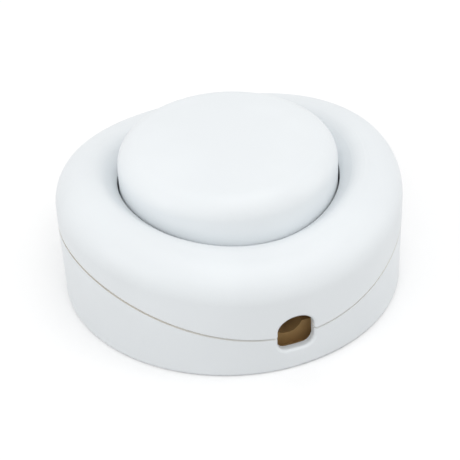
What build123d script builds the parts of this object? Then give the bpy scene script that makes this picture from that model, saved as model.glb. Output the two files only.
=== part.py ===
from build123d import *
import os

# Round foot switch for the cord of a floor lamp.
# Millimetres, +Z up. The cords enter along Y, and the origin is the centre of the underside.

# Housing
body_radius = 30.0
base_draft = 0.3
base_edge_round = 0.6
wall = 1.6
floor = 2.2
joint_end_z = 7.0
joint_rise = 7.5
joint_gap = 0.5
tongue_thickness = 0.7
tongue_height = 1.6
tongue_clearance = 0.2

# Cover over the base, a ring with a rounded shoulder and a bevelled lip round the button
cover_crest_z = 23.5
cover_arch_radius = 100.0
cover_round_share = 0.54
lip_bevel_share = 0.28
lip_edge_share = 0.28
guide_radius = 19.2
guide_wall = 1.6
guide_bottom_z = 10.2

# Cord entries in the joint line, one at each end
cord_hole_width = 6.4
cord_hole_depth = 3.9
cord_arch_height = 2.75
cord_arch_rise = 1.0
cord_hole_round = 1.7
cord_edge_round = 0.5
cord_rise = 0.25
cord_diameter = 5.4

# Push button
button_clearance = 0.3
button_crown_z = 28.1
button_crown_radius = 140.0
button_edge_round = 3.7
button_wall = 1.8
button_skirt_z = 14.6
button_rib_count = 6
button_rib_width = 1.2
button_rib_depth = 2.4
press_travel = 4.5
running_clearance = 0.3
lug_angle = 15.0
lug_width = 4.0
lug_height = 1.8
lug_reach = 1.3
lug_slot_height = 2.6

# Index rotor and the sleeve that drives it
tooth_count = 8
tooth_inner_radius = 4.2
tooth_outer_radius = 7.2
tooth_side_angle = 3.0
ramp_margin = 0.5
ramp_clearance = 0.5
drum_shoulder = 0.8
drum_height = 4.25
pin_radius = 1.5
pin_socket = 1.3
pin_rise = 3.5
pin_clearance = 0.2
tip_bevel_share = 0.3
pad_thickness = 2.9
pad_margin = 2.1
spigot_length = 6.0
press_clearance = 0.05

# Moving contact, a stamped cross with upturned ends
spider_sheet = 0.8
spider_arm_width = 3.0
spider_tab_height = 3.65
spider_hub_radius = 4.0
spider_arm_count = 4
spider_arm_angle = 45.0
hub_height = 0.5
hub_gap = 0.2

# Well round the rotor and the ring that keeps the rotor down
well_clearance = 1.9
well_wall = 1.6
well_window_start = -38.0
well_window_end = 58.0
ring_clearance = 0.4
ring_thickness = 1.5
ring_rim_height = 0.9
ring_rim_width = 1.0
peg_radius = 0.8
peg_height = 1.1
peg_angle = 108.0

# Return spring
spring_wire = 1.1
spring_room = 2.1
spring_turns = 5.5

# Line terminals and the leaf contacts that they hold
terminal_y = 11.6
terminal_width = 5.6
terminal_depth = 6.4
terminal_height = 5.2
wire_hole_radius = 1.3
wire_hole_rise = 2.2
leaf_sheet = 0.6
leaf_rise = 1.3
leaf_height = 3.5
leaf_room = 0.65
leaf_tail = 3.0
leaf_bend_round = 1.0
rivet_radius = 1.2
rivet_height = 0.6
rivet_shank_radius = 0.6
contact_gap = 0.3

# Neutral terminal, a bar that joins both cords
neutral_width = 3.8
neutral_length = 11.6
neutral_screw_pitch = 6.4
nest_wall = 1.0
nest_height = 2.4
nest_clearance = 0.15

# Screws
terminal_screw_radius = 1.15
terminal_head_radius = 1.8
terminal_head_height = 1.3
housing_screw_inset = 4.2
housing_screw_radius = 1.2
housing_screw_length = 13.0
housing_head_radius = 2.8
housing_head_height = 2.0
housing_head_bridge = 1.0
housing_seat_rise = 1.0
housing_boss_radius = 4.0
housing_post_radius = 3.0
clamp_screw_radius = 1.2
clamp_screw_length = 7.6
clamp_head_radius = 2.1
clamp_head_height = 1.5
slot_width = 0.6
slot_depth = 0.7
head_round_share = 0.4
screw_clearance = 0.05
hole_clearance = 0.5

# Cord clamps
clamp_inset = 4.9
clamp_width = 4.6
clamp_thickness = 2.8
clamp_pitch = 13.6
clamp_lift = 1.45
clamp_boss_radius = 2.3
clamp_end_round = 2.2
saddle_drop = 0.95

# Values that follow from the ones above
joint_arch_radius = (body_radius ** 2 + joint_rise ** 2) / (2 * joint_rise)
joint_crest_z = joint_end_z + joint_rise
base_bottom_radius = body_radius - base_draft
inner_radius = body_radius - wall
guide_outer_radius = guide_radius + guide_wall
ring_width = body_radius - guide_radius
cover_outer_round = cover_round_share * ring_width
lip_bevel = lip_bevel_share * ring_width
lip_edge_round = lip_edge_share * ring_width
lip_inner_bevel = lip_bevel - wall - guide_wall + 2 ** 0.5 * wall
button_radius = guide_radius - button_clearance
skirt_inner_radius = button_radius - button_wall
seat_z = button_crown_z - pad_thickness
drum_radius = tooth_outer_radius + drum_shoulder
hub_top_z = floor + hub_height
spider_bottom_z = hub_top_z + hub_gap
drum_bottom_z = spider_bottom_z + spider_sheet + press_clearance
drum_top_z = drum_bottom_z + drum_height
spider_tab_top_z = drum_bottom_z + spider_tab_height
pin_bottom_z = floor - pin_socket
pin_top_z = drum_top_z + pin_rise
tooth_pitch = 360 / tooth_count
spider_arm_pitch = 360 / spider_arm_count
tooth_height = press_travel
sleeve_tip_z = drum_top_z + ramp_clearance + press_travel
sleeve_root_z = sleeve_tip_z + tooth_height
well_top_z = drum_top_z + running_clearance
well_inner_radius = drum_radius + well_clearance
well_outer_radius = well_inner_radius + well_wall
ring_inner_radius = tooth_outer_radius + ring_clearance
ring_outer_radius = well_outer_radius
ring_top_z = well_top_z + ring_thickness
spring_radius = tooth_outer_radius + spring_room
seat_radius = spring_radius + pad_margin
leaf_x = drum_radius + contact_gap + rivet_height
leaf_back_x = leaf_x + leaf_sheet
leaf_bottom_z = floor + leaf_rise
leaf_top_z = leaf_bottom_z + leaf_height
terminal_x = leaf_back_x + terminal_width / 2
terminal_top_z = floor + terminal_height
terminal_face_y = terminal_y - terminal_depth / 2
wire_hole_z = floor + wire_hole_rise
neutral_x = -(leaf_back_x + leaf_room + nest_wall + nest_clearance + neutral_width / 2)
cord_axis_z = joint_end_z + cord_rise
clamp_y = inner_radius - clamp_inset
clamp_length = clamp_pitch + 2 * clamp_end_round
clamp_seat_z = cord_axis_z + clamp_lift
clamp_top_z = clamp_seat_z + clamp_thickness
saddle_top_z = cord_axis_z - saddle_drop
housing_screw_x = inner_radius - housing_screw_inset
housing_head_seat_z = floor + housing_head_bridge
housing_seat_z = joint_end_z + housing_seat_rise
post_top_z = cover_crest_z - wall + press_clearance
lug_slot_top_z = guide_bottom_z + lug_slot_height
lug_top_z = lug_slot_top_z - running_clearance
tall = 2 * body_radius

bottom_up = (Align.CENTER, Align.CENTER, Align.MIN)


def disc(radius, z0, z1, x=0.0, y=0.0):
    """Upright cylinder between two heights."""
    return Pos(x, y, z0) * Cylinder(radius, z1 - z0, align=bottom_up)


def block(size_x, size_y, z0, z1, x=0.0, y=0.0):
    """Upright box between two heights."""
    return Pos(x, y, z0) * Box(size_x, size_y, z1 - z0, align=bottom_up)


def sector(r_in, r_out, start, end, z0, z1):
    """Part of a ring between two angles and two heights."""
    whole = Solid.make_cylinder(r_out, z1 - z0, Plane.XY, end - start)
    bore = Solid.make_cylinder(r_in, z1 - z0, Plane.XY)
    return Pos(0, 0, z0) * Rot(0, 0, start) * (whole - bore)


def under_arch(crest_z, radius):
    """Everything below an arch that drops toward both cord ends."""
    return Pos(0, 0, crest_z - radius) * Rot(0, 90, 0) * Cylinder(radius, 2 * tall)


def top_rim(solid, radius):
    """The highest rim of a solid that lies at the given radius."""
    rims = []
    for edge in solid.edges():
        box = edge.bounding_box()
        if abs(box.max.X - radius) < 0.01 and abs(box.min.X + radius) < 0.01:
            rims.append(edge)
    return sorted(rims, key=lambda edge: edge.bounding_box().max.Z)[-1]


def cord_holes():
    """Through cut for both cord entries, an arch in the cover over a box in the base."""
    upper = Rectangle(cord_hole_width, cord_arch_height, align=(Align.CENTER, Align.MIN))
    upper &= Ellipse(cord_hole_width / 2, cord_arch_height)
    lower = Rectangle(cord_hole_width, cord_hole_depth, align=(Align.CENTER, Align.MAX))
    lower = fillet(lower.vertices().group_by(Axis.Y)[0], cord_hole_round)
    place = Plane.XZ * Pos(0, joint_end_z + cord_arch_rise)
    return extrude(place * (upper + lower), amount=tall, both=True)


def cord_rims(solid):
    """Outer edges of both cord entries."""
    rims = []
    for edge in solid.edges():
        box = edge.bounding_box()
        beside = max(-box.min.X, box.max.X) < cord_hole_width / 2 + cord_edge_round
        outside = max(-box.max.Y, box.min.Y) > body_radius - wall / 3
        if beside and outside and box.min.Z > base_edge_round:
            rims.append(edge)
    return rims


def slotted_screw(radius, length, head_radius, head_height):
    """Pan head screw that points down, with its head's underside at the origin."""
    head = disc(head_radius, 0, head_height)
    head = fillet(head.edges().group_by(Axis.Z)[-1], head_round_share * head_height)
    screw = head + disc(radius, -length, 0)
    screw = chamfer(screw.edges().group_by(Axis.Z)[0], tip_bevel_share * radius)
    return screw - block(2 * head_radius, slot_width, head_height - slot_depth, head_height)


def both_sides(solid):
    """A solid and its copy turned half way round the middle."""
    return [solid, Rot(0, 0, 180) * solid]


def save(node, solids):
    """Write one node's solids."""
    group = solids if isinstance(solids, list) else [solids]
    export_step(Compound(children=group), "parts/" + node + ".step")


# Base
side_profile = Polyline(
    (0, 0), (base_bottom_radius, 0), (body_radius, joint_crest_z), (0, joint_crest_z), close=True
)
base_outer = revolve(Plane.XZ * make_face(side_profile), Axis.Z)
base_outer = fillet(base_outer.edges().group_by(Axis.Z)[0], base_edge_round)
base = base_outer & under_arch(joint_crest_z - joint_gap / 2, joint_arch_radius - joint_gap / 2)
tongue = disc(inner_radius + tongue_thickness, floor, tall)
tongue &= under_arch(joint_crest_z + tongue_height, joint_arch_radius + tongue_height)
base = base + tongue - disc(inner_radius, floor, tall)
base -= cord_holes()
base = fillet(cord_rims(base), cord_edge_round)

for side in (-1, 1):
    boss = disc(housing_boss_radius, 0, housing_seat_z, side * housing_screw_x)
    base += boss & disc(inner_radius + wall / 2, floor / 2, tall)
    base -= disc(housing_head_radius + hole_clearance, 0, housing_head_seat_z, side * housing_screw_x)
    base -= disc(housing_screw_radius + hole_clearance, 0, housing_seat_z, side * housing_screw_x)
    saddle = block(clamp_pitch, clamp_width, floor, saddle_top_z, 0, side * clamp_y)
    groove = Rot(90, 0, 0) * Cylinder(cord_diameter / 2, tall)
    base += saddle - Pos(0, 0, cord_axis_z) * groove
    for end in (-1, 1):
        x = end * clamp_pitch / 2
        base += disc(clamp_boss_radius, floor, clamp_seat_z, x, side * clamp_y)
        pilot_z = clamp_top_z - clamp_thickness - clamp_screw_length
        base -= disc(clamp_screw_radius + screw_clearance, pilot_z, clamp_seat_z, x, side * clamp_y)

well = sector(well_inner_radius, well_outer_radius, well_window_end, 180 + well_window_start,
              floor, well_top_z)
for arc in both_sides(well):
    base += arc
peg_place = (well_inner_radius + well_outer_radius) / 2
peg = disc(peg_radius, well_top_z - peg_height, well_top_z + peg_height)
peg = Rot(0, 0, peg_angle) * Pos(peg_place, 0, 0) * peg
for pin in both_sides(peg):
    base += pin
base += disc(spider_hub_radius, floor, hub_top_z)
base -= disc(pin_radius + press_clearance, pin_bottom_z, hub_top_z)


def nest(size_x, size_y, x, y):
    """Low wall that holds a terminal block in place."""
    inner_x = size_x + 2 * nest_clearance
    inner_y = size_y + 2 * nest_clearance
    ring = block(inner_x + 2 * nest_wall, inner_y + 2 * nest_wall, floor, floor + nest_height, x, y)
    gate = block(inner_x / 2, tall, wire_hole_z - wire_hole_radius - nest_clearance, tall, x, y)
    return ring - block(inner_x, inner_y, floor, floor + nest_height, x, y) - gate


line_nest = nest(terminal_width, terminal_depth, terminal_x, terminal_y)
leaf_way = block(terminal_width + 2 * nest_wall, terminal_depth, leaf_bottom_z - running_clearance, tall,
                 terminal_x - nest_wall, terminal_face_y - terminal_depth / 2)
for frame in both_sides(line_nest - leaf_way):
    base += frame
base += nest(neutral_width, neutral_length, neutral_x, 0)

# Cover
cover = disc(body_radius, 0, tall) & under_arch(cover_crest_z, cover_arch_radius)
cover = fillet(top_rim(cover, body_radius), cover_outer_round)
cover -= disc(guide_radius, 0, tall)
cover = chamfer(top_rim(cover, guide_radius), lip_bevel)
cover = fillet(top_rim(cover, guide_radius + lip_bevel), lip_edge_round)
cavity = disc(inner_radius, 0, tall) & under_arch(cover_crest_z - wall, cover_arch_radius - wall)
cavity = fillet(top_rim(cavity, inner_radius), cover_outer_round - wall)
cavity -= disc(guide_outer_radius, 0, tall)
cavity = chamfer(top_rim(cavity, guide_outer_radius), lip_inner_bevel)
cover -= cavity
cover -= under_arch(joint_crest_z + joint_gap / 2, joint_arch_radius + joint_gap / 2) - disc(
    guide_outer_radius, 0, tall
)
cover -= disc(guide_outer_radius, 0, guide_bottom_z)
rebate_rise = tongue_height + tongue_clearance
rebate = disc(inner_radius + tongue_thickness + tongue_clearance, 0, tall) - disc(guide_outer_radius, 0, tall)
cover -= rebate & under_arch(joint_crest_z + rebate_rise, joint_arch_radius + rebate_rise)
cover -= cord_holes()
cover = fillet(cord_rims(cover), cord_edge_round)
for side in (-1, 1):
    x = side * housing_screw_x
    cover += disc(housing_post_radius, housing_seat_z, post_top_z, x)
    pilot_z = housing_head_seat_z + housing_screw_length
    cover -= disc(housing_screw_radius + screw_clearance, housing_seat_z, pilot_z, x)
slot = block(2 * tall, lug_width + 2 * running_clearance, 0, lug_slot_top_z)
slot &= disc(guide_outer_radius + wall / 2, 0, tall)
for angle in (lug_angle, -lug_angle):
    cover -= Rot(0, 0, angle) * slot
wire_way_top_z = clamp_top_z + clamp_head_height + running_clearance
cover -= block(clamp_length, 2 * tall, 0, wire_way_top_z) & disc(guide_outer_radius, 0, tall)

# Push button
button = disc(button_radius, button_skirt_z, tall)
crown_centre = Pos(0, 0, button_crown_z - button_crown_radius)
button &= crown_centre * Sphere(button_crown_radius)
button = fillet(top_rim(button, button_radius), button_edge_round)
hollow = disc(skirt_inner_radius, 0, tall) & crown_centre * Sphere(button_crown_radius - button_wall)
hollow = fillet(top_rim(hollow, skirt_inner_radius), button_edge_round - button_wall)
pad = disc(seat_radius, seat_z, tall)
ribs = [
    Rot(0, 0, (k + 0.5) * 360 / button_rib_count)
    * Pos((seat_radius + skirt_inner_radius) / 2, 0, seat_z - button_rib_depth)
    * Box(skirt_inner_radius - seat_radius + button_wall, button_rib_width, tall, align=bottom_up)
    for k in range(button_rib_count)
]
hollow -= pad
for rib in ribs:
    hollow -= rib
button -= hollow
button += disc(tooth_inner_radius - press_clearance, seat_z - spigot_length, seat_z)
leg = block(2 * tall, lug_width, lug_top_z - lug_height, button_skirt_z)
leg &= disc(button_radius, 0, tall) - disc(skirt_inner_radius, 0, tall)
hook = block(2 * tall, lug_width, lug_top_z - lug_height, lug_top_z)
hook &= disc(button_radius + lug_reach, 0, tall) - disc(skirt_inner_radius, 0, tall)
for angle in (lug_angle, -lug_angle):
    button += Rot(0, 0, angle) * leg
    button += Rot(0, 0, angle) * hook

# Ramps of the rotor and the sleeve, both on the same screw surface
ramp_plan = sector(tooth_inner_radius - ramp_margin, tooth_outer_radius + ramp_margin, 0, tooth_pitch, 0, tall)
ramp_face = ramp_plan.faces().sort_by(Axis.Z)[0]


def ramp(start):
    """Screw-shaped step, which turns back by one tooth over the height of a tooth."""
    face = Rot(0, 0, start) * ramp_face
    return Solid.extrude_linear_with_rotation(face, (0, 0, 0), (0, 0, tooth_height), -tooth_pitch)


rotor_tooth = ramp(0) & sector(tooth_inner_radius, tooth_outer_radius, 0, tooth_pitch, 0, tooth_height)
sleeve_tooth = ramp(tooth_pitch) & sector(tooth_inner_radius, tooth_outer_radius, tooth_side_angle,
                                          tooth_pitch - tooth_side_angle, 0, tooth_height)

# Index rotor
rotor = disc(drum_radius, drum_bottom_z, drum_top_z)
for k in range(tooth_count):
    rotor += Pos(0, 0, drum_top_z) * Rot(0, 0, k * tooth_pitch) * rotor_tooth
rotor -= disc(pin_radius + pin_clearance, 0, tall)
tab_room = block(2 * spider_sheet + 2 * press_clearance, spider_arm_width + 2 * press_clearance,
                 0, spider_tab_top_z + press_clearance, drum_radius)
for k in range(spider_arm_count):
    rotor -= Rot(0, 0, spider_arm_angle + k * spider_arm_pitch) * tab_room

# Drive sleeve
sleeve = disc(tooth_outer_radius, sleeve_root_z, seat_z) - disc(tooth_inner_radius, 0, tall)
for k in range(tooth_count):
    sleeve += Pos(0, 0, sleeve_tip_z) * Rot(0, 0, k * tooth_pitch) * sleeve_tooth

# Moving contact
spider = disc(spider_hub_radius, spider_bottom_z, spider_bottom_z + spider_sheet)
arm = block(drum_radius, spider_arm_width, spider_bottom_z, spider_bottom_z + spider_sheet, drum_radius / 2)
tab = block(2 * spider_sheet, spider_arm_width, spider_bottom_z, spider_tab_top_z, drum_radius)
for k in range(spider_arm_count):
    spider += Rot(0, 0, spider_arm_angle + k * spider_arm_pitch) * (arm + tab)
spider &= disc(drum_radius, 0, tall)
spider -= disc(pin_radius + pin_clearance, 0, tall)

# Pivot pin
pin = disc(pin_radius, pin_bottom_z, pin_top_z)
pin = chamfer(pin.edges().group_by(Axis.Z)[-1], tip_bevel_share * pin_radius)

# Ring over the rotor, which is also the seat of the return spring
keeper = disc(ring_outer_radius, well_top_z, ring_top_z + ring_rim_height)
keeper -= disc(ring_outer_radius - ring_rim_width, ring_top_z, tall)
keeper -= disc(ring_inner_radius, 0, tall)
peg_hole = Rot(0, 0, peg_angle) * Pos(peg_place, 0, 0) * disc(peg_radius + screw_clearance, 0, tall)
for hole in both_sides(peg_hole):
    keeper -= hole

# Return spring
spring_height = seat_z - ring_top_z - spring_wire - 2 * press_clearance
spring_path = Helix(spring_height / spring_turns, spring_height, spring_radius)
spring_path = Pos(0, 0, ring_top_z + press_clearance + spring_wire / 2) * spring_path
spring_start = Plane(origin=spring_path @ 0, z_dir=spring_path % 0)
spring = sweep(spring_start * Circle(spring_wire / 2), path=spring_path, is_frenet=True)

# Line terminals with a wire hole from the side and a screw from above
terminal = block(terminal_width, terminal_depth, floor, terminal_top_z, terminal_x, terminal_y)
terminal = chamfer(terminal.edges().group_by(Axis.Z)[-1], leaf_sheet / 2)
wire_hole = Pos(terminal_x, terminal_y, wire_hole_z) * Rot(90, 0, 0)
terminal -= wire_hole * Cylinder(wire_hole_radius, 2 * terminal_depth)
terminal -= disc(terminal_screw_radius + screw_clearance, wire_hole_z, tall, terminal_x, terminal_y)

# Leaf contacts
leaf_foot_x = terminal_x + terminal_width / 4
leaf_line = FilletPolyline(
    (leaf_x + leaf_sheet / 2, -leaf_tail),
    (leaf_x + leaf_sheet / 2, terminal_face_y - leaf_sheet / 2),
    (leaf_foot_x, terminal_face_y - leaf_sheet / 2),
    radius=leaf_bend_round,
)
leaf_plan = trace(leaf_line, leaf_sheet)
leaf = Pos(0, 0, leaf_bottom_z) * extrude(leaf_plan, amount=leaf_top_z - leaf_bottom_z)
rivet_z = (leaf_bottom_z + leaf_top_z) / 2
rivet_axis = Pos(0, 0, rivet_z) * Rot(0, 90, 0)
leaf -= rivet_axis * disc(rivet_shank_radius + press_clearance, leaf_x, leaf_back_x)
rivet = rivet_axis * disc(rivet_radius, leaf_x - rivet_height, leaf_x)
rivet = fillet(rivet.edges().group_by(Axis.X)[0], rivet_height / 2)
rivet += rivet_axis * disc(rivet_shank_radius, leaf_x, leaf_back_x)

# Neutral terminal
neutral = block(neutral_width, neutral_length, floor, terminal_top_z, neutral_x)
neutral = chamfer(neutral.edges().group_by(Axis.Z)[-1], leaf_sheet / 2)
neutral -= Pos(neutral_x, 0, wire_hole_z) * Rot(90, 0, 0) * Cylinder(wire_hole_radius, 2 * neutral_length)
for end in (-1, 1):
    y = end * neutral_screw_pitch / 2
    neutral -= disc(terminal_screw_radius + screw_clearance, wire_hole_z, tall, neutral_x, y)

# Cord clamps
clamp_plan = RectangleRounded(clamp_length, clamp_width, clamp_end_round)
clamp = Pos(0, clamp_y, clamp_seat_z) * extrude(clamp_plan, amount=clamp_thickness)
clamp -= Pos(0, 0, cord_axis_z) * Rot(90, 0, 0) * Cylinder(cord_diameter / 2, tall)
for end in (-1, 1):
    clamp -= disc(clamp_screw_radius + hole_clearance, 0, tall, end * clamp_pitch / 2, clamp_y)

# Screws
terminal_screw = slotted_screw(terminal_screw_radius, terminal_top_z - wire_hole_z,
                               terminal_head_radius, terminal_head_height)
terminal_screws = both_sides(Pos(terminal_x, terminal_y, terminal_top_z) * terminal_screw)
for end in (-1, 1):
    place = Pos(neutral_x, end * neutral_screw_pitch / 2, terminal_top_z)
    terminal_screws.append(place * terminal_screw)
clamp_screw = slotted_screw(clamp_screw_radius, clamp_screw_length + clamp_thickness,
                            clamp_head_radius, clamp_head_height)
clamp_screws = []
for end in (-1, 1):
    clamp_screws += both_sides(Pos(end * clamp_pitch / 2, clamp_y, clamp_top_z) * clamp_screw)
housing_screw = Rot(180, 0, 0) * slotted_screw(housing_screw_radius, housing_screw_length - wall,
                                               housing_head_radius, housing_head_height)
housing_screws = both_sides(Pos(housing_screw_x, 0, housing_head_seat_z) * housing_screw)

# Files
os.makedirs("parts", exist_ok=True)
save("base", base)
save("cover", cover)
save("push_button", button)
save("drive_sleeve", sleeve)
save("return_spring", spring)
save("index_rotor", rotor)
save("contact_cross", spider)
save("pivot_pin", pin)
save("rotor_keeper", keeper)
save("line_terminal_in", terminal)
save("line_terminal_out", Rot(0, 0, 180) * terminal)
save("leaf_contact_in", leaf)
save("leaf_contact_out", Rot(0, 0, 180) * leaf)
save("contact_rivets", both_sides(rivet))
save("neutral_terminal", neutral)
save("terminal_screws", terminal_screws)
save("cord_clamp_rear", clamp)
save("cord_clamp_front", Rot(0, 0, 180) * clamp)
save("cord_clamp_screws", clamp_screws)
save("housing_screws", housing_screws)
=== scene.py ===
import math

import bmesh
import bpy
from bpy.props import FloatProperty, FloatVectorProperty, PointerProperty
from mathutils import Matrix, Vector


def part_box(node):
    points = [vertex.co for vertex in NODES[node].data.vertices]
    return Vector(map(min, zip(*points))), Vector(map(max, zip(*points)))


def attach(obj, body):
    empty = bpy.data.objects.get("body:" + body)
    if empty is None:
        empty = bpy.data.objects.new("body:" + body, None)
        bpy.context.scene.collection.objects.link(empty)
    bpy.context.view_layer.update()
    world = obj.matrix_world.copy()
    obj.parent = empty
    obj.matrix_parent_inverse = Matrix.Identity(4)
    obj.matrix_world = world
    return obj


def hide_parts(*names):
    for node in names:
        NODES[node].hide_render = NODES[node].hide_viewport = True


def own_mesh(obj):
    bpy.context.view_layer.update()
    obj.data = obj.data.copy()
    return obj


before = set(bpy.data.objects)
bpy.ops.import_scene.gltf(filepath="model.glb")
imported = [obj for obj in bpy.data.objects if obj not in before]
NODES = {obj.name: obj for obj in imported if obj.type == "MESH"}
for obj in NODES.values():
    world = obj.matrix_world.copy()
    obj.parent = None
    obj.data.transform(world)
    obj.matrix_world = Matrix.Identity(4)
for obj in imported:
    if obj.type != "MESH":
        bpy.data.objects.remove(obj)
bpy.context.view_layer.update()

bl_info = {
    "name": "Foot switch",
    "version": (1, 0, 0),
    "blender": (4, 5, 0),
    "location": "3D View > Sidebar > Foot switch",
    "description": "Dresses the packed foot switch with moulded plastic, metal parts, screws and a studio",
    "category": "Object",
}

# Edges that turn by more than this stay sharp, and points that are closer than this are one.
CREASE = math.radians(38)
WELD = 1e-7
# How finely the round forms are drawn.
HEAD_SIDES = 64
HEAD_RINGS = 10
SHANK_SIDES = 40
THREAD_STEPS = 28
RIDGE_SIDES = 4
COIL_STEPS = 64
WIRE_SIDES = 20
FLOOR_STEPS = 96
# A screw's head falls to its rim by this power and share of half its height. Its point narrows to
# a share of the thread's root, over a share of the shank's radius.
CROWN_POWER = 4.0
CROWN_FALL = 0.9
TIP_SHARE = 0.5
TAPER_SHARE = 0.6


def colour_property(name, description, default):
    """A colour that the user can change in the sidebar."""
    return FloatVectorProperty(
        name=name, description=description, default=default, subtype="COLOR", size=3, min=0.0, max=1.0
    )


def length_property(name, description, default):
    """A length in metres that the user can change in the sidebar."""
    return FloatProperty(name=name, description=description, default=default, unit="LENGTH", precision=5)


def edge_property(name, description, start, end):
    """A soft edge in metres: where a tone begins to change, and where it has changed."""
    return FloatVectorProperty(
        name=name, description=description, default=(start, end), size=2, unit="LENGTH", precision=5
    )


def place_property(name, description, default):
    """A place in metres that the user can change in the sidebar."""
    return FloatVectorProperty(name=name, description=description, default=default, subtype="XYZ")


def amount_property(name, description, default):
    """A plain number, zero or more, that the user can change in the sidebar."""
    return FloatProperty(name=name, description=description, default=default, min=0.0)


class PlasticSettings(bpy.types.PropertyGroup):
    """Colours and grain of the moulded pieces."""

    housing: colour_property("Housing", "White of the base and the cover", (0.812, 0.845, 0.866))
    button: colour_property("Button", "White of the push button", (0.827, 0.860, 0.880))
    mechanism: colour_property("Mechanism", "Natural tone of the drive pieces", (0.74, 0.72, 0.66))
    roughness: amount_property("Roughness", "Satin of the moulded plastic", 0.38)
    grain: length_property("Grain", "Size of the moulded grain", 0.00035)
    grain_depth: length_property("Grain depth", "Height of the moulded grain", 0.000012)
    # Painted shade: the warm, dark shade inside the housing is painted on its inner faces, up to these edges.
    inside: colour_property("Inside", "Warm tone of the faces inside the housing", (0.51, 0.325, 0.14))
    inside_wall: edge_property("Inside wall", "Radius at which the inside tone ends", 0.0279, 0.0286)
    inside_floor: edge_property("Inside floor", "Height at which the inside tone begins", 0.0019, 0.0022)
    inside_top: edge_property("Inside top", "Height at which the inside tone ends", 0.0150, 0.0165)
    # Painted shade: the warm shade in the gap between the base and the cover is painted on the faces along
    # the joint.
    joint: colour_property("Joint", "Tone of the faces between the base and the cover", (0.82, 0.80, 0.745))
    joint_half: edge_property(
        "Joint half", "Distance from the joint's arch at which its tone ends", 0.00026, 0.00030
    )
    arch_top: length_property("Joint height", "Height of the joint's arch at its top", 0.0145)
    arch_radius: length_property("Joint radius", "Radius of the joint's arch", 0.06375)


class MetalSettings(bpy.types.PropertyGroup):
    """Colours of the metal pieces."""

    brass: colour_property("Brass", "Terminal blocks", (0.72, 0.52, 0.22))
    bronze: colour_property("Bronze", "Leaf contacts and the moving cross", (0.70, 0.43, 0.22))
    silver: colour_property("Silver", "Contact rivets", (0.82, 0.81, 0.78))
    steel: colour_property("Steel", "Spring and pivot pin", (0.52, 0.53, 0.54))
    zinc: colour_property("Zinc", "Screws", (0.64, 0.65, 0.66))


class PatternSettings(bpy.types.PropertyGroup):
    """Sizes of the threads and the spring that the frame doesn't hold."""

    thread_pitch: length_property("Thread pitch", "Rise of one turn of a screw thread", 0.0007)
    thread_depth: amount_property("Thread depth", "Share of the shank's radius that the thread takes", 0.2)
    slot_width: length_property("Slot width", "Width of the slot in a screw head", 0.0006)
    slot_depth: length_property("Slot depth", "Depth of the slot in a screw head", 0.0007)
    spring_wire: length_property("Spring wire", "Diameter of the spring's wire", 0.0011)
    spring_turns: amount_property("Spring turns", "Turns with both closed ends", 7.0)


class StageSettings(bpy.types.PropertyGroup):
    """Floor, light and camera."""

    floor: colour_property("Floor", "Plain pale floor", (0.96, 0.96, 0.96))
    floor_radius: length_property("Floor radius", "Outer radius of the round floor", 3.0)
    opening: length_property("Opening", "Radius of the opening in the floor that shows the underside", 0.0288)
    glow: amount_property("Glow", "Lift that makes the floor white to the camera only", 0.06)
    bounce: amount_property("Bounce", "Share of the floor's light that reaches the part", 0.60)
    sky: amount_property("Sky", "Even light from all round", 0.83)
    lamp_size: length_property("Lamp size", "Side of each soft lamp", 0.65)
    top_light: amount_property("Top light", "Power of the lamp above", 1.1)
    top_place: place_property("Top lamp", "Where the lamp above hangs", (0.10, -0.22, 0.97))
    front_light: amount_property("Front light", "Power of the lamp in front", 0.8)
    front_place: place_property("Front lamp", "Where the lamp in front hangs", (-0.24, -0.66, 0.71))
    right_light: amount_property("Right light", "Power of the lamp on the right", 1.1)
    right_place: place_property("Right lamp", "Where the lamp on the right stands", (0.88, -0.32, 0.34))
    left_light: amount_property("Left light", "Power of the lamp on the left", 1.375)
    left_place: place_property("Left lamp", "Where the lamp on the left stands", (-0.92, -0.16, 0.34))
    lens: amount_property("Lens", "Focal length in millimetres", 130.77)
    sensor: amount_property("Sensor", "Width of the sensor in millimetres", 36.0)
    tilt: FloatProperty(
        name="Tilt", description="Turn about the view axis", default=math.radians(2.66), subtype="ANGLE"
    )
    camera_place: place_property("Camera", "Where the camera stands", (-0.0805, -0.2259, 0.1803))
    camera_aim: place_property("Aim", "Point in the middle of the picture", (0.00125, 0.00392, 0.00561))


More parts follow.
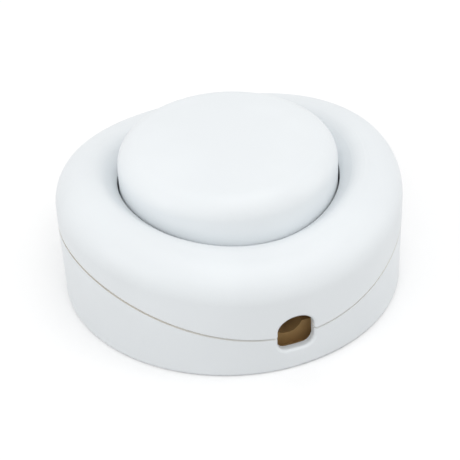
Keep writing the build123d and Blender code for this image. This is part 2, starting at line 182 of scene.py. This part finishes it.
class Nodes:
    """A material's or a tree's nodes, added and joined by short calls."""

    def __init__(self, tree):
        self.tree = tree

    def add(self, kind, **inputs):
        """A new node with the given inputs."""
        node = self.tree.nodes.new(kind)
        for name, value in inputs.items():
            self.set(node, name, value)
        return node

    def set(self, node, name, value):
        """Link or set an input, called by its name with underscores for blanks or by its number after one."""
        key = int(name[1:]) if name[0] == "_" and name[1:].isdigit() else name.replace("_", " ")
        socket = node.inputs[key]
        if isinstance(value, bpy.types.NodeSocket):
            self.tree.links.new(value, socket)
        else:
            socket.default_value = value

    def math(self, operation, a, b=0.5):
        """One step of arithmetic."""
        node = self.add("ShaderNodeMath")
        node.operation = operation
        self.set(node, "_0", a)
        self.set(node, "_1", b)
        return node.outputs[0]

    def from_axis(self, x, y):
        """Distance from the upright axis through the origin."""
        square = self.math("ADD", self.math("MULTIPLY", x, x), self.math("MULTIPLY", y, y))
        return self.math("SQRT", square)

    def upward(self, height):
        """A vector that points up by a height."""
        return self.add("ShaderNodeCombineXYZ", Z=height).outputs[0]

    def raised(self, geometry, height):
        """Geometry moved up by a height."""
        moved = self.add("GeometryNodeTransform", Geometry=geometry, Translation=self.upward(height))
        return moved.outputs[0]

    def ramp(self, value, low, high, to_low=0.0, to_high=1.0):
        """A soft step between two values."""
        node = self.add("ShaderNodeMapRange", From_Min=low, From_Max=high, To_Min=to_low, To_Max=to_high)
        node.interpolation_type = "SMOOTHSTEP"
        self.set(node, "Value", value)
        return node.outputs["Result"]

    def vary(self, noise, middle, less, more):
        """A number that a noise makes a little less and a little more."""
        return self.ramp(noise, low=0.3, high=0.7, to_low=middle - less, to_high=middle + more)

    def mix(self, factor, a, b):
        """A colour between two others."""
        node = self.add("ShaderNodeMix")
        node.data_type = "RGBA"
        for index, value in ((0, factor), (6, a), (7, b)):
            self.set(node, "_%d" % index, value)
        return node.outputs[2]

    def noise(self, coordinates, scale, detail):
        """A cloudy pattern."""
        return self.add("ShaderNodeTexNoise", Vector=coordinates, Scale=scale, Detail=detail).outputs["Fac"]


def rgba(colour, gain=1.0):
    """A colour with its alpha, made lighter or darker by a factor."""
    return tuple(min(1.0, channel * gain) for channel in colour) + (1.0,)


def new_material(name):
    """An empty material with its shader, and the object coordinates that its patterns read."""
    material = bpy.data.materials.new(name)
    material.use_nodes = True
    nodes = Nodes(material.node_tree)
    shader = material.node_tree.nodes["Principled BSDF"]
    place = nodes.add("ShaderNodeTexCoord").outputs["Object"]
    return material, nodes, shader, place


def seen_directly(nodes):
    """One where the camera sees a surface or the sky, itself or in a mirror or glass."""
    path = nodes.add("ShaderNodeLightPath").outputs
    seen = nodes.math("MAXIMUM", path["Is Camera Ray"], path["Is Glossy Ray"])
    return nodes.math("MAXIMUM", seen, path["Is Transmission Ray"])


def moulded_plastic(name, colour, settings, tints=()):
    """Satin moulded plastic with a fine grain; each tint is a mask and the tone it takes there."""
    material, nodes, shader, place = new_material(name)
    drift = nodes.ramp(nodes.noise(place, scale=55.0, detail=2.0), low=0.35, high=0.65)
    tone = nodes.mix(drift, rgba(colour, gain=0.985), rgba(colour, gain=1.01))
    fleck = nodes.ramp(nodes.noise(place, scale=2600.0, detail=2.0), low=0.66, high=0.74, to_high=0.05)
    tone = nodes.mix(fleck, tone, rgba(colour, gain=0.8))
    for mask, tint in tints:
        tone = nodes.mix(mask(nodes, place), tone, rgba(tint))
    nodes.set(shader, "Base Color", tone)
    handled = nodes.noise(place, scale=140.0, detail=4.0)
    nodes.set(shader, "Roughness", nodes.vary(handled, settings.roughness, less=0.05, more=0.06))
    grain = nodes.noise(place, scale=1.0 / settings.grain, detail=2.0)
    bump = nodes.add("ShaderNodeBump", Height=grain, Distance=settings.grain_depth, Strength=0.6)
    nodes.set(shader, "Normal", bump.outputs[0])
    shader.inputs["IOR"].default_value = 1.5
    return material


def worked_metal(name, colour, roughness, stretch=(1.0, 1.0, 8.0)):
    """Metal with fine drawn lines and slight tarnish."""
    material, nodes, shader, place = new_material(name)
    mapping = nodes.add("ShaderNodeMapping", Vector=place, Scale=stretch)
    lines = nodes.noise(mapping.outputs[0], scale=1500.0, detail=3.0)
    tarnish = nodes.ramp(nodes.noise(place, scale=420.0, detail=4.0), low=0.4, high=0.75)
    tone = nodes.mix(tarnish, rgba(colour), rgba(colour, gain=0.72))
    nodes.set(shader, "Base Color", tone)
    nodes.set(shader, "Roughness", nodes.vary(lines, roughness, less=0.08, more=0.1))
    bump = nodes.add("ShaderNodeBump", Height=lines, Distance=0.00001, Strength=0.4)
    nodes.set(shader, "Normal", bump.outputs[0])
    shader.inputs["Metallic"].default_value = 1.0
    return material


def pattern_tree(name, lengths, vectors=()):
    """An empty geometry tree with named inputs."""
    tree = bpy.data.node_groups.new(name, "GeometryNodeTree")
    tree.interface.new_socket("Geometry", in_out="INPUT", socket_type="NodeSocketGeometry")
    for label in lengths:
        tree.interface.new_socket(label, in_out="INPUT", socket_type="NodeSocketFloat")
    for label in vectors:
        tree.interface.new_socket(label, in_out="INPUT", socket_type="NodeSocketVector")
    tree.interface.new_socket("Material", in_out="INPUT", socket_type="NodeSocketMaterial")
    tree.interface.new_socket("Geometry", in_out="OUTPUT", socket_type="NodeSocketGeometry")
    nodes = Nodes(tree)
    return tree, nodes, nodes.add("NodeGroupInput").outputs


def close_tree(nodes, geometry, material):
    """End a geometry tree: real mesh, with its material."""
    real = nodes.add("GeometryNodeRealizeInstances", Geometry=geometry)
    coated = nodes.add("GeometryNodeSetMaterial", Geometry=real.outputs[0], Material=material)
    nodes.add("NodeGroupOutput", Geometry=coated.outputs[0])


def grow(name, points, tree, values):
    """Run a geometry tree on points and keep the result as a plain mesh."""
    seed = bpy.data.meshes.new(name + "_points")
    seed.from_pydata(points, [], [])
    piece = bpy.data.objects.new(name, seed)
    bpy.context.scene.collection.objects.link(piece)
    modifier = piece.modifiers.new("pattern", "NODES")
    modifier.node_group = tree
    for item in tree.interface.items_tree:
        if item.in_out == "INPUT" and item.name in values:
            modifier[item.identifier] = values[item.name]
    mesh = bpy.data.meshes.new_from_object(piece.evaluated_get(bpy.context.evaluated_depsgraph_get()))
    piece.modifiers.remove(modifier)
    piece.data = mesh
    mesh.name = name
    mesh.shade_smooth()
    mesh.set_sharp_from_angle(angle=CREASE)
    bpy.data.meshes.remove(seed)
    return piece


def screw_head(nodes, size):
    """A crowned head with a straight slot, seated at the origin."""
    half_head = nodes.math("MULTIPLY", size["Head Height"], 0.5)
    drum = nodes.add(
        "GeometryNodeMeshCylinder", Vertices=HEAD_SIDES, Fill_Segments=HEAD_RINGS,
        Radius=size["Head Radius"], Depth=size["Head Height"],
    )
    place = nodes.add("GeometryNodeInputPosition").outputs[0]
    x, y, z = nodes.add("ShaderNodeSeparateXYZ", Vector=place).outputs
    reach = nodes.math("DIVIDE", nodes.from_axis(x, y), size["Head Radius"])
    rim_fall = nodes.math("MULTIPLY", half_head, -CROWN_FALL)
    fall = nodes.math("MULTIPLY", nodes.math("POWER", reach, CROWN_POWER), rim_fall)
    on_top = nodes.math("GREATER_THAN", z, 0.0)
    crown = nodes.add(
        "GeometryNodeSetPosition", Geometry=drum.outputs["Mesh"], Selection=on_top, Offset=nodes.upward(fall)
    )
    head = nodes.raised(crown.outputs[0], half_head)
    # The slot's cutter runs past the head at both ends, and half of it stands above the top.
    cutter_size = nodes.add(
        "ShaderNodeCombineXYZ", X=nodes.math("MULTIPLY", size["Head Radius"], 3.0),
        Y=size["Slot Width"], Z=nodes.math("MULTIPLY", size["Slot Depth"], 2.0),
    )
    cutter = nodes.add("GeometryNodeMeshCube", Size=cutter_size.outputs[0]).outputs["Mesh"]
    cutter = nodes.raised(cutter, size["Head Height"])
    slotted = nodes.add("GeometryNodeMeshBoolean", Mesh_1=head, Mesh_2=cutter)
    slotted.operation = "DIFFERENCE"
    return slotted.outputs["Mesh"]


def screw_shank(nodes, size):
    """A shank below the origin: its barrel, its blunt point and the thread round it."""
    root = nodes.math("MULTIPLY", size["Shank Radius"], nodes.math("SUBTRACT", 1.0, size["Depth"]))
    taper = nodes.math("MULTIPLY", size["Shank Radius"], TAPER_SHARE)
    straight = nodes.math("SUBTRACT", size["Length"], taper)
    barrel = nodes.add("GeometryNodeMeshCylinder", Vertices=SHANK_SIDES, Radius=root, Depth=straight)
    barrel = nodes.raised(barrel.outputs["Mesh"], nodes.math("MULTIPLY", straight, -0.5))
    point = nodes.add(
        "GeometryNodeMeshCone", Vertices=SHANK_SIDES, Side_Segments=1, Fill_Segments=1,
        Radius_Bottom=nodes.math("MULTIPLY", root, TIP_SHARE), Radius_Top=root, Depth=taper,
    )
    point = nodes.raised(point.outputs["Mesh"], nodes.math("MULTIPLY", size["Length"], -1.0))
    rise = nodes.math("SUBTRACT", straight, size["Pitch"])
    spiral = nodes.add(
        "GeometryNodeCurveSpiral", Resolution=THREAD_STEPS, Start_Radius=root, End_Radius=root,
        Rotations=nodes.math("DIVIDE", rise, size["Pitch"]), Height=rise,
    )
    spiral = nodes.raised(spiral.outputs["Curve"], nodes.math("MULTIPLY", straight, -1.0))
    ridge_size = nodes.math("SUBTRACT", size["Shank Radius"], root)
    ridge = nodes.add("GeometryNodeCurvePrimitiveCircle", Resolution=RIDGE_SIDES, Radius=ridge_size)
    thread = nodes.add(
        "GeometryNodeCurveToMesh", Curve=spiral, Profile_Curve=ridge.outputs["Curve"], Fill_Caps=True
    )
    return barrel, point, thread.outputs[0]


def screw_tree():
    """Slotted pan head screws, one at each point, that point down unless they are turned."""
    sizes = (
        "Head Radius", "Head Height", "Shank Radius", "Length", "Pitch", "Depth", "Slot Width", "Slot Depth"
    )
    tree, nodes, size = pattern_tree("threaded_screws", sizes, ("Turn",))
    head = screw_head(nodes, size)
    shank = screw_shank(nodes, size)
    joined = nodes.add("GeometryNodeJoinGeometry")
    for part in (head, *shank):
        tree.links.new(part, joined.inputs[0])
    placed = nodes.add(
        "GeometryNodeInstanceOnPoints", Points=size["Geometry"],
        Instance=joined.outputs[0], Rotation=size["Turn"],
    )
    close_tree(nodes, placed.outputs[0], size["Material"])
    return tree


def spring_tree():
    """A coil whose turns close up at both ends, standing on each point."""
    tree, nodes, size = pattern_tree("coil_spring", ("Radius", "Height", "Wire", "Turns", "Closing"))
    spiral = nodes.add(
        "GeometryNodeCurveSpiral", Resolution=COIL_STEPS, Rotations=size["Turns"],
        Start_Radius=size["Radius"], End_Radius=size["Radius"], Height=size["Height"],
    ).outputs["Curve"]
    # A sine along the coil draws the turns together at both ends and apart in the middle.
    along = nodes.add("GeometryNodeSplineParameter").outputs["Factor"]
    wave = nodes.math("SINE", nodes.math("MULTIPLY", along, math.tau))
    shift = nodes.math("MULTIPLY", nodes.math("MULTIPLY", wave, size["Height"]), -1.0 / math.tau)
    shift = nodes.math("MULTIPLY", shift, size["Closing"])
    spiral = nodes.add("GeometryNodeSetPosition", Geometry=spiral, Offset=nodes.upward(shift)).outputs[0]
    half_wire = nodes.math("MULTIPLY", size["Wire"], 0.5)
    wire = nodes.add("GeometryNodeCurvePrimitiveCircle", Resolution=WIRE_SIDES, Radius=half_wire)
    coil = nodes.add(
        "GeometryNodeCurveToMesh", Curve=spiral, Profile_Curve=wire.outputs["Curve"], Fill_Caps=True
    )
    placed = nodes.add("GeometryNodeInstanceOnPoints", Points=size["Geometry"], Instance=coil.outputs[0])
    close_tree(nodes, placed.outputs[0], size["Material"])
    return tree


def islands(node):
    """The separate solids of a CAD node, in the mesh's own order, as lists of points."""
    mesh = bmesh.new()
    mesh.from_mesh(NODES[node].data)
    bmesh.ops.remove_doubles(mesh, verts=mesh.verts, dist=WELD)
    reached = set()
    groups = []
    for first in mesh.verts:
        if first in reached:
            continue
        reached.add(first)
        edge_of_search = [first]
        group = []
        while edge_of_search:
            vertex = edge_of_search.pop()
            group.append(vertex.co.copy())
            beside = [edge.other_vert(vertex) for edge in vertex.link_edges]
            beside = [other for other in beside if other not in reached]
            reached.update(beside)
            edge_of_search += beside
        groups.append(group)
    mesh.free()
    return groups


def measure_screw(points, head_down):
    """Where a screw's head sits, and its sizes."""
    axis = [(min(p[k] for p in points) + max(p[k] for p in points)) / 2 for k in (0, 1)]
    side = -1.0 if head_down else 1.0
    reach = [(math.hypot(p[0] - axis[0], p[1] - axis[1]), side * p[2]) for p in points]
    top, tip = max(z for r, z in reach), min(z for r, z in reach)
    head_radius = max(r for r, z in reach)
    shank_radius = max(r for r, z in reach if z < (top + tip) / 2)
    seat = min(z for r, z in reach if r > (head_radius + shank_radius) / 2)
    sizes = {
        "Head Radius": head_radius,
        "Head Height": top - seat,
        "Shank Radius": shank_radius,
        "Length": seat - tip,
    }
    return (axis[0], axis[1], side * seat), sizes


def dress(node, material):
    """Give a CAD node its material."""
    slots = NODES[node].data.materials
    slots.clear()
    slots.append(material)


class FOOTSWITCH_OT_housing(bpy.types.Operator):
    """Dress the base and the cover in white moulded plastic"""

    bl_idname = "footswitch.housing"
    bl_label = "Housing"

    def execute(self, context):
        plastic = context.scene.footswitch_plastic

        def painted_inside_shade(nodes, place):
            """One on the faces inside the housing, where the warm shade inside it is painted."""
            x, y, z = nodes.add("ShaderNodeSeparateXYZ", Vector=place).outputs
            deep = nodes.ramp(nodes.from_axis(x, y), *plastic.inside_wall, to_low=1.0, to_high=0.0)
            above_floor = nodes.ramp(z, *plastic.inside_floor)
            below_lip = nodes.ramp(z, *plastic.inside_top, to_low=1.0, to_high=0.0)
            return nodes.math("MULTIPLY", nodes.math("MULTIPLY", deep, above_floor), below_lip)

        def painted_joint_shade(nodes, place):
            """One along the arched joint of the base and the cover, where the shade in its gap is painted."""
            x, y, z = nodes.add("ShaderNodeSeparateXYZ", Vector=place).outputs
            fall = nodes.math("SUBTRACT", plastic.arch_radius ** 2, nodes.math("POWER", y, 2.0))
            arch = nodes.math("ADD", nodes.math("SQRT", fall), plastic.arch_top - plastic.arch_radius)
            off = nodes.math("ABSOLUTE", nodes.math("SUBTRACT", z, arch))
            return nodes.ramp(off, *plastic.joint_half, to_low=1.0, to_high=0.0)

        # Both tints are painted shade: the warm shade in the joint's gap and the warm shade inside the
        # housing.
        tints = ((painted_joint_shade, plastic.joint), (painted_inside_shade, plastic.inside))
        white = moulded_plastic("housing_plastic", plastic.housing, plastic, tints)
        for node in ("base", "cover", "cord_clamp_front", "cord_clamp_rear"):
            dress(node, white)
        return {"FINISHED"}


class FOOTSWITCH_OT_button(bpy.types.Operator):
    """Dress the push button"""

    bl_idname = "footswitch.button"
    bl_label = "Push button"

    def execute(self, context):
        plastic = context.scene.footswitch_plastic
        dress("push_button", moulded_plastic("button_plastic", plastic.button, plastic))
        return {"FINISHED"}


class FOOTSWITCH_OT_mechanism(bpy.types.Operator):
    """Dress the drive pieces and the contacts"""

    bl_idname = "footswitch.mechanism"
    bl_label = "Mechanism"

    def execute(self, context):
        plastic = context.scene.footswitch_plastic
        metal = context.scene.footswitch_metal
        natural = moulded_plastic("mechanism_plastic", plastic.mechanism, plastic)
        for node in ("drive_sleeve", "index_rotor", "rotor_keeper"):
            dress(node, natural)
        steel = worked_metal("spring_steel", metal.steel, roughness=0.32)
        dress("pivot_pin", steel)
        self.spring(context.scene.footswitch_pattern, steel)
        bronze = worked_metal("contact_bronze", metal.bronze, roughness=0.34)
        for node in ("contact_cross", "leaf_contact_in", "leaf_contact_out"):
            dress(node, bronze)
        brass = worked_metal("terminal_brass", metal.brass, roughness=0.3)
        for node in ("line_terminal_in", "line_terminal_out", "neutral_terminal"):
            dress(node, brass)
        dress("contact_rivets", worked_metal("contact_silver", metal.silver, roughness=0.28))
        return {"FINISHED"}

    def spring(self, pattern, steel):
        """Draw the spring's coil."""
        low, high = (Vector(corner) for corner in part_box("return_spring"))
        wire = pattern.spring_wire
        height = high.z - low.z - wire
        # The closing makes the first and the last turn rise by one wire, so that they lie closed.
        even_turn = 1.0 / pattern.spring_turns
        closed_turn = even_turn - math.sin(math.tau * even_turn) / math.tau
        values = {
            "Radius": (high.x - low.x - wire) / 2,
            "Height": height,
            "Wire": wire,
            "Turns": pattern.spring_turns,
            "Closing": (even_turn - wire / height) / (even_turn - closed_turn),
            "Material": steel,
        }
        foot = ((low.x + high.x) / 2, (low.y + high.y) / 2, low.z + wire / 2)
        coil = grow("return_spring_coil", [foot], spring_tree(), values)
        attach(coil, "housing")
        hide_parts("return_spring")
        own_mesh(coil)


class FOOTSWITCH_OT_screws(bpy.types.Operator):
    """Replace the plain screws by slotted, threaded ones"""

    bl_idname = "footswitch.screws"
    bl_label = "Screws"

    def execute(self, context):
        metal = context.scene.footswitch_metal
        pattern = context.scene.footswitch_pattern
        zinc = worked_metal("screw_zinc", metal.zinc, roughness=0.34)
        tree = screw_tree()
        heads_down = {"terminal_screws": False, "cord_clamp_screws": False, "housing_screws": True}
        for node, head_down in heads_down.items():
            measured = [measure_screw(points, head_down) for points in islands(node)]
            values = dict(measured[0][1])
            values["Pitch"] = pattern.thread_pitch
            values["Depth"] = pattern.thread_depth
            values["Slot Width"] = pattern.slot_width
            values["Slot Depth"] = pattern.slot_depth
            values["Turn"] = (math.pi if head_down else 0.0, 0.0, 0.0)
            values["Material"] = zinc
            screws = grow(node + "_threaded", [seat for seat, sizes in measured], tree, values)
            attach(screws, "housing")
            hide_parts(node)
        return {"FINISHED"}


class FOOTSWITCH_OT_stage(bpy.types.Operator):
    """Lay the floor, light it softly and set the camera at the photograph's angle"""

    bl_idname = "footswitch.stage"
    bl_label = "Stage"

    def execute(self, context):
        stage = context.scene.footswitch_stage
        scene = context.scene
        scene.view_settings.view_transform = "Standard"
        self.floor(scene, stage)
        self.sky(scene, stage)
        self.lamps(scene, stage)
        self.camera(scene, stage)
        return {"FINISHED"}

    def floor(self, scene, stage):
        """A round floor, open under the part, that looks white and throws little light back on it."""
        steps = FLOOR_STEPS
        turns = [math.tau * step / steps for step in range(steps)]
        rings = [(reach * math.cos(turn), reach * math.sin(turn), 0.0)
                 for reach in (stage.opening, stage.floor_radius) for turn in turns]
        quads = [(k, k + steps, (k + 1) % steps + steps, (k + 1) % steps) for k in range(steps)]
        mesh = bpy.data.meshes.new("floor")
        mesh.from_pydata(rings, [], quads)
        floor = bpy.data.objects.new("floor", mesh)
        scene.collection.objects.link(floor)
        material, nodes, shader, place = new_material("floor_paper")
        fibre = nodes.noise(place, scale=900.0, detail=3.0)
        paper = nodes.mix(fibre, rgba(stage.floor, gain=0.995), rgba(stage.floor, gain=1.005))
        seen = seen_directly(nodes)
        nodes.set(shader, "Base Color", nodes.mix(seen, rgba(stage.floor, gain=stage.bounce), paper))
        shader.inputs["Emission Color"].default_value = (1.0, 1.0, 1.0, 1.0)
        nodes.set(shader, "Emission Strength", nodes.math("MULTIPLY", seen, stage.glow))
        shader.inputs["Roughness"].default_value = 0.9
        shader.inputs["Specular IOR Level"].default_value = 0.0
        mesh.materials.append(material)

    def sky(self, scene, stage):
        """Even light from all round, and plain white where it is seen."""
        world = bpy.data.worlds.new("studio_sky")
        scene.world = world
        world.use_nodes = True
        nodes = Nodes(world.node_tree)
        background = world.node_tree.nodes["Background"]
        background.inputs["Color"].default_value = (1.0, 1.0, 1.0, 1.0)
        strength = nodes.ramp(seen_directly(nodes), low=0.0, high=1.0, to_low=stage.sky, to_high=1.0)
        nodes.set(background, "Strength", strength)

    def lamps(self, scene, stage):
        """Four large soft lamps that face the part."""
        for name, place, power in (
            ("soft_top", stage.top_place, stage.top_light),
            ("soft_front", stage.front_place, stage.front_light),
            ("soft_right", stage.right_place, stage.right_light),
            ("soft_left", stage.left_place, stage.left_light),
        ):
            light = bpy.data.lights.new(name, "AREA")
            light.shape = "SQUARE"
            light.size = stage.lamp_size
            light.energy = power
            lamp = bpy.data.objects.new(name, light)
            lamp.location = place
            lamp.rotation_euler = (-Vector(place)).to_track_quat("-Z", "Y").to_euler()
            scene.collection.objects.link(lamp)

    def camera(self, scene, stage):
        """The camera at the photograph's angle."""
        data = bpy.data.cameras.new("camera")
        data.sensor_width = stage.sensor
        data.lens = stage.lens
        data.clip_start = 0.01
        camera = bpy.data.objects.new("camera", data)
        place = Vector(stage.camera_place)
        turn = (Vector(stage.camera_aim) - place).to_track_quat("-Z", "Y").to_matrix().to_4x4()
        camera.matrix_world = Matrix.Translation(place) @ turn @ Matrix.Rotation(-stage.tilt, 4, "Z")
        scene.collection.objects.link(camera)
        scene.camera = camera


PIECES = ("housing", "button", "mechanism", "screws", "stage")
SETTINGS = {
    "footswitch_plastic": PlasticSettings,
    "footswitch_metal": MetalSettings,
    "footswitch_pattern": PatternSettings,
    "footswitch_stage": StageSettings,
}


class FOOTSWITCH_PT_sidebar(bpy.types.Panel):
    """Lists the pieces of the foot switch and their settings"""

    bl_idname = "FOOTSWITCH_PT_sidebar"
    bl_label = "Foot switch"
    bl_space_type = "VIEW_3D"
    bl_region_type = "UI"
    bl_category = "Foot switch"

    def draw(self, context):
        for piece in PIECES:
            self.layout.operator("footswitch." + piece)
        for name in SETTINGS:
            settings = getattr(context.scene, name)
            box = self.layout.box()
            for item in settings.bl_rna.properties:
                if item.identifier not in ("rna_type", "name"):
                    box.prop(settings, item.identifier)


CLASSES = (
    PlasticSettings,
    MetalSettings,
    PatternSettings,
    StageSettings,
    FOOTSWITCH_OT_housing,
    FOOTSWITCH_OT_button,
    FOOTSWITCH_OT_mechanism,
    FOOTSWITCH_OT_screws,
    FOOTSWITCH_OT_stage,
    FOOTSWITCH_PT_sidebar,
)


def register():
    """Make the operators, the panel and the settings known to Blender."""
    for item in CLASSES:
        bpy.utils.register_class(item)
    for name, group in SETTINGS.items():
        setattr(bpy.types.Scene, name, PointerProperty(type=group))


def unregister():
    """Take them away again."""
    for name in SETTINGS:
        delattr(bpy.types.Scene, name)
    for item in reversed(CLASSES):
        bpy.utils.unregister_class(item)


def main():
    """Build every piece and the stage."""
    register()
    for piece in PIECES:
        getattr(bpy.ops.footswitch, piece)()


if __name__ == "__main__":
    main()
